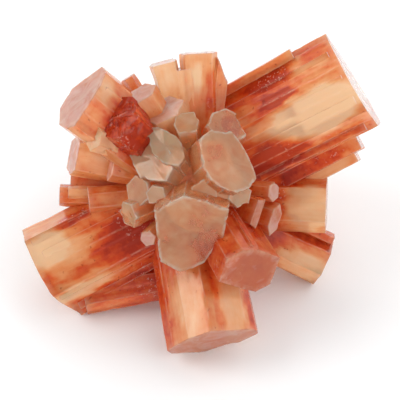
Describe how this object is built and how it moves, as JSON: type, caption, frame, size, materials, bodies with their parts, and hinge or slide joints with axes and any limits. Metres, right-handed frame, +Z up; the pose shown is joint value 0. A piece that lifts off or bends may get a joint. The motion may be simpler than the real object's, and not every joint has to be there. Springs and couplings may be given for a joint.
{
  "type": "aragonite crystal cluster",
  "caption": "Free-standing star of clear orange aragonite prisms grown together from one heart, with flat ends, ridged sides and small pale crystals facing forward.",
  "frame": {"origin": "centre of the bounding box on the surface that the cluster stands on", "axes": "+Z up, +X along the longest side of the bounding box, towards the largest raised prism, -Y towards the side with the pale crystals"},
  "size_m": [0.0566, 0.0455, 0.0349],
  "materials": {
    "aragonite": "clear to translucent, glassy crystal faces"
  },
  "bodies": {
    "root": {"aragonite_cluster": "aragonite"}
  },
  "joints": []
}
